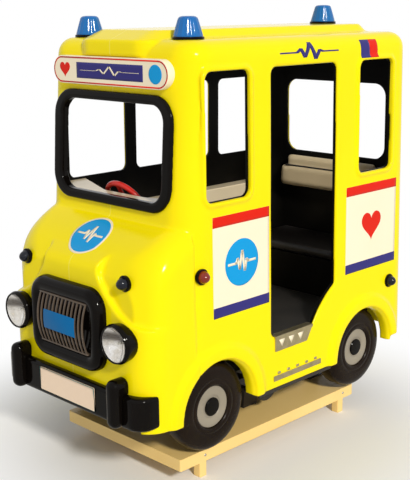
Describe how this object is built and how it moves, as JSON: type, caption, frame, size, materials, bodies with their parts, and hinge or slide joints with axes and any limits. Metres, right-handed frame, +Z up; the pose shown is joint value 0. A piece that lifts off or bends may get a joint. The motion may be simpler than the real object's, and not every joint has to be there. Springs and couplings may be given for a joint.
{
  "type": "coin-operated rocking ambulance",
  "caption": "Child's coin ride shaped as a boxy yellow ambulance van with an open door and windows, rocking on a low sheet-steel base.",
  "frame": {"origin": "on the floor, at the middle of the four feet's anchor bores", "axes": "+Z up, -Y out of the front of the van, +X out of the door side"},
  "size_m": [0.833, 1.5196, 1.62],
  "materials": {
    "body_yellow": "gloss gel-coated glass fibre, fluorescent lemon yellow",
    "cab_black": "black inner skin, satin",
    "trim_black": "gloss black moulding",
    "sign_face": "white board with a printed band",
    "grille_black": "satin black grille bars",
    "badge_blue": "plain blue plate",
    "lamp_chrome": "bright reflector",
    "lamp_amber": "amber lens",
    "plate_white": "blank white plate with a red edge",
    "tread_steel": "knurled steel tread",
    "ring_black": "black lamp base",
    "beacon_blue": "clear blue beacon dome",
    "cab_cream": "cream moulding",
    "wheel_red": "red moulded steering wheel",
    "bench_black": "black vinyl cushion",
    "bench_cream": "cream vinyl backrest",
    "floor_black": "ribbed black floor",
    "frame_black": "black painted steel tube",
    "axle_steel": "bare steel",
    "cap_black": "black axle cap",
    "tyre_rubber": "black moulded tyre",
    "hub_grey": "grey painted wheel disc",
    "base_cream": "cream powder-coated sheet steel",
    "motor_grey": "grey geared motor"
  },
  "bodies": {
    "base": {"base_pan": "base_cream", "base_feet": "base_cream", "hinge_pedestals": "frame_black", "hinge_shaft": "axle_steel", "drive_bearings": "frame_black", "gearmotor": "motor_grey"},
    "drive": {"drive_crank": "axle_steel"},
    "car": {"shell_left": "body_yellow", "shell_right": "body_yellow", "cab_lining": "cab_black", "windscreen_frame": "trim_black", "sign_board": "sign_face", "grille_surround": "trim_black", "grille_bars": "grille_black", "grille_plate": "badge_blue", "headlamp_housings": "trim_black", "headlamp_bowls": "lamp_chrome", "turn_lamps": "lamp_amber", "front_markers": "lamp_amber", "rear_markers": "lamp_amber", "bumper": "trim_black", "overriders": "trim_black", "number_plate": "plate_white", "door_tread": "tread_steel", "rocker_strip": "tread_steel", "beacon_rings": "ring_black", "beacon_domes": "beacon_blue", "steering_column": "trim_black", "dashboard": "cab_cream", "side_locker": "cab_cream", "bench_base": "cab_black", "bench_cushion": "bench_black", "bench_backrest": "bench_cream", "floor_panel": "floor_black", "chassis_rails": "frame_black", "cross_members": "frame_black", "floor_posts": "frame_black", "hinge_lugs": "frame_black", "axles": "axle_steel", "axle_caps": "cap_black"},
    "steering": {"steering_wheel": "wheel_red"},
    "front_left_wheel": {"front_left_tyre": "tyre_rubber", "front_left_hub": "hub_grey"},
    "front_right_wheel": {"front_right_tyre": "tyre_rubber", "front_right_hub": "hub_grey"},
    "rear_left_wheel": {"rear_left_tyre": "tyre_rubber", "rear_left_hub": "hub_grey"},
    "rear_right_wheel": {"rear_right_tyre": "tyre_rubber", "rear_right_hub": "hub_grey"}
  },
  "joints": [
    {"name": "rock", "type": "hinge", "parent": "base", "child": "car", "pos_m": [0, 0.42, 0.165], "axis": [-1, 0, 0], "range_deg": [0, 5]},
    {"name": "crank_turn", "type": "hinge", "parent": "base", "child": "drive", "pos_m": [0, 0.005, 0.21], "axis": [1, 0, 0], "continuous": true},
    {"name": "steering_turn", "type": "hinge", "parent": "car", "child": "steering", "pos_m": [-0.06, -0.403, 0.936], "axis": [0, 0.866, 0.5], "continuous": true},
    {"name": "front_left_wheel_spin", "type": "hinge", "parent": "car", "child": "front_left_wheel", "pos_m": [0, -0.387, 0.273], "axis": [1, 0, 0], "continuous": true},
    {"name": "front_right_wheel_spin", "type": "hinge", "parent": "car", "child": "front_right_wheel", "pos_m": [0, -0.387, 0.273], "axis": [1, 0, 0], "continuous": true},
    {"name": "rear_left_wheel_spin", "type": "hinge", "parent": "car", "child": "rear_left_wheel", "pos_m": [0, 0.434, 0.279], "axis": [1, 0, 0], "continuous": true},
    {"name": "rear_right_wheel_spin", "type": "hinge", "parent": "car", "child": "rear_right_wheel", "pos_m": [0, 0.434, 0.279], "axis": [1, 0, 0], "continuous": true}
  ]
}
